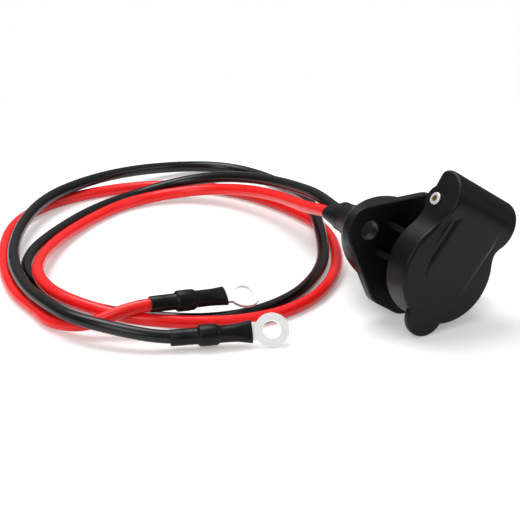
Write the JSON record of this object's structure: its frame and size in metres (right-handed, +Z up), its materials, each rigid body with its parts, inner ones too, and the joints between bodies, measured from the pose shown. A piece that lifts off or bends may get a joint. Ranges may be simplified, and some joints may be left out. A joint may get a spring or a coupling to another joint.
{
  "type": "accessory power socket",
  "caption": "Panel-mount accessory power socket with a spring hinged weather lid, a diamond bolt flange, a rubber rear boot and red and black battery leads ending in ring terminals.",
  "frame": {"origin": "on the bench under the middle of the socket's box, cables left out", "axes": "+Y along the socket's axis from its lid to its boot, +Z up with the socket lying on one straight side of its flange"},
  "size_m": [0.1973, 0.2634, 0.072],
  "materials": {
    "housing_plastic": "fine moulded satin",
    "lid_plastic": "fine moulded satin",
    "seal_rubber": "matt",
    "nickel_plate": "plated",
    "spring_steel": "bright drawn wire",
    "insulator_plastic": "dull",
    "contact_brass": "bright",
    "connector_red": "translucent vinyl",
    "connector_black": "vinyl",
    "boot_rubber": "smooth moulded",
    "cable_red": "smooth vinyl",
    "cable_black": "smooth vinyl",
    "heat_shrink": "satin",
    "tin_plate": "tin plate"
  },
  "bodies": {
    "socket": {"socket_housing": "housing_plastic", "hinge_pin": "nickel_plate", "lid_spring": "spring_steel", "contact_sleeve": "nickel_plate", "insulator_disc": "insulator_plastic", "centre_contact": "contact_brass", "centre_screw": "nickel_plate", "screw_washer": "nickel_plate", "screw_nut": "nickel_plate", "positive_terminal": "contact_brass", "negative_terminal": "contact_brass", "negative_rivet": "contact_brass", "positive_connector": "connector_red", "negative_connector": "connector_black", "rubber_boot": "boot_rubber", "red_cable": "cable_red", "black_cable": "cable_black", "red_heat_shrink": "heat_shrink", "black_heat_shrink": "heat_shrink", "red_ring_terminal": "tin_plate", "black_ring_terminal": "tin_plate"},
    "lid": {"lid": "lid_plastic", "lid_seal": "seal_rubber"}
  },
  "joints": [
    {"name": "lid_hinge", "type": "hinge", "parent": "socket", "child": "lid", "pos_m": [0.01368, -0.0352, 0.0497], "axis": [-0.8346, 0, 0.5508], "range_deg": [0, 100], "stiffness_Nm_per_rad": 0.03, "springref_deg": -51.57, "deforming": ["lid_spring"]}
  ]
}
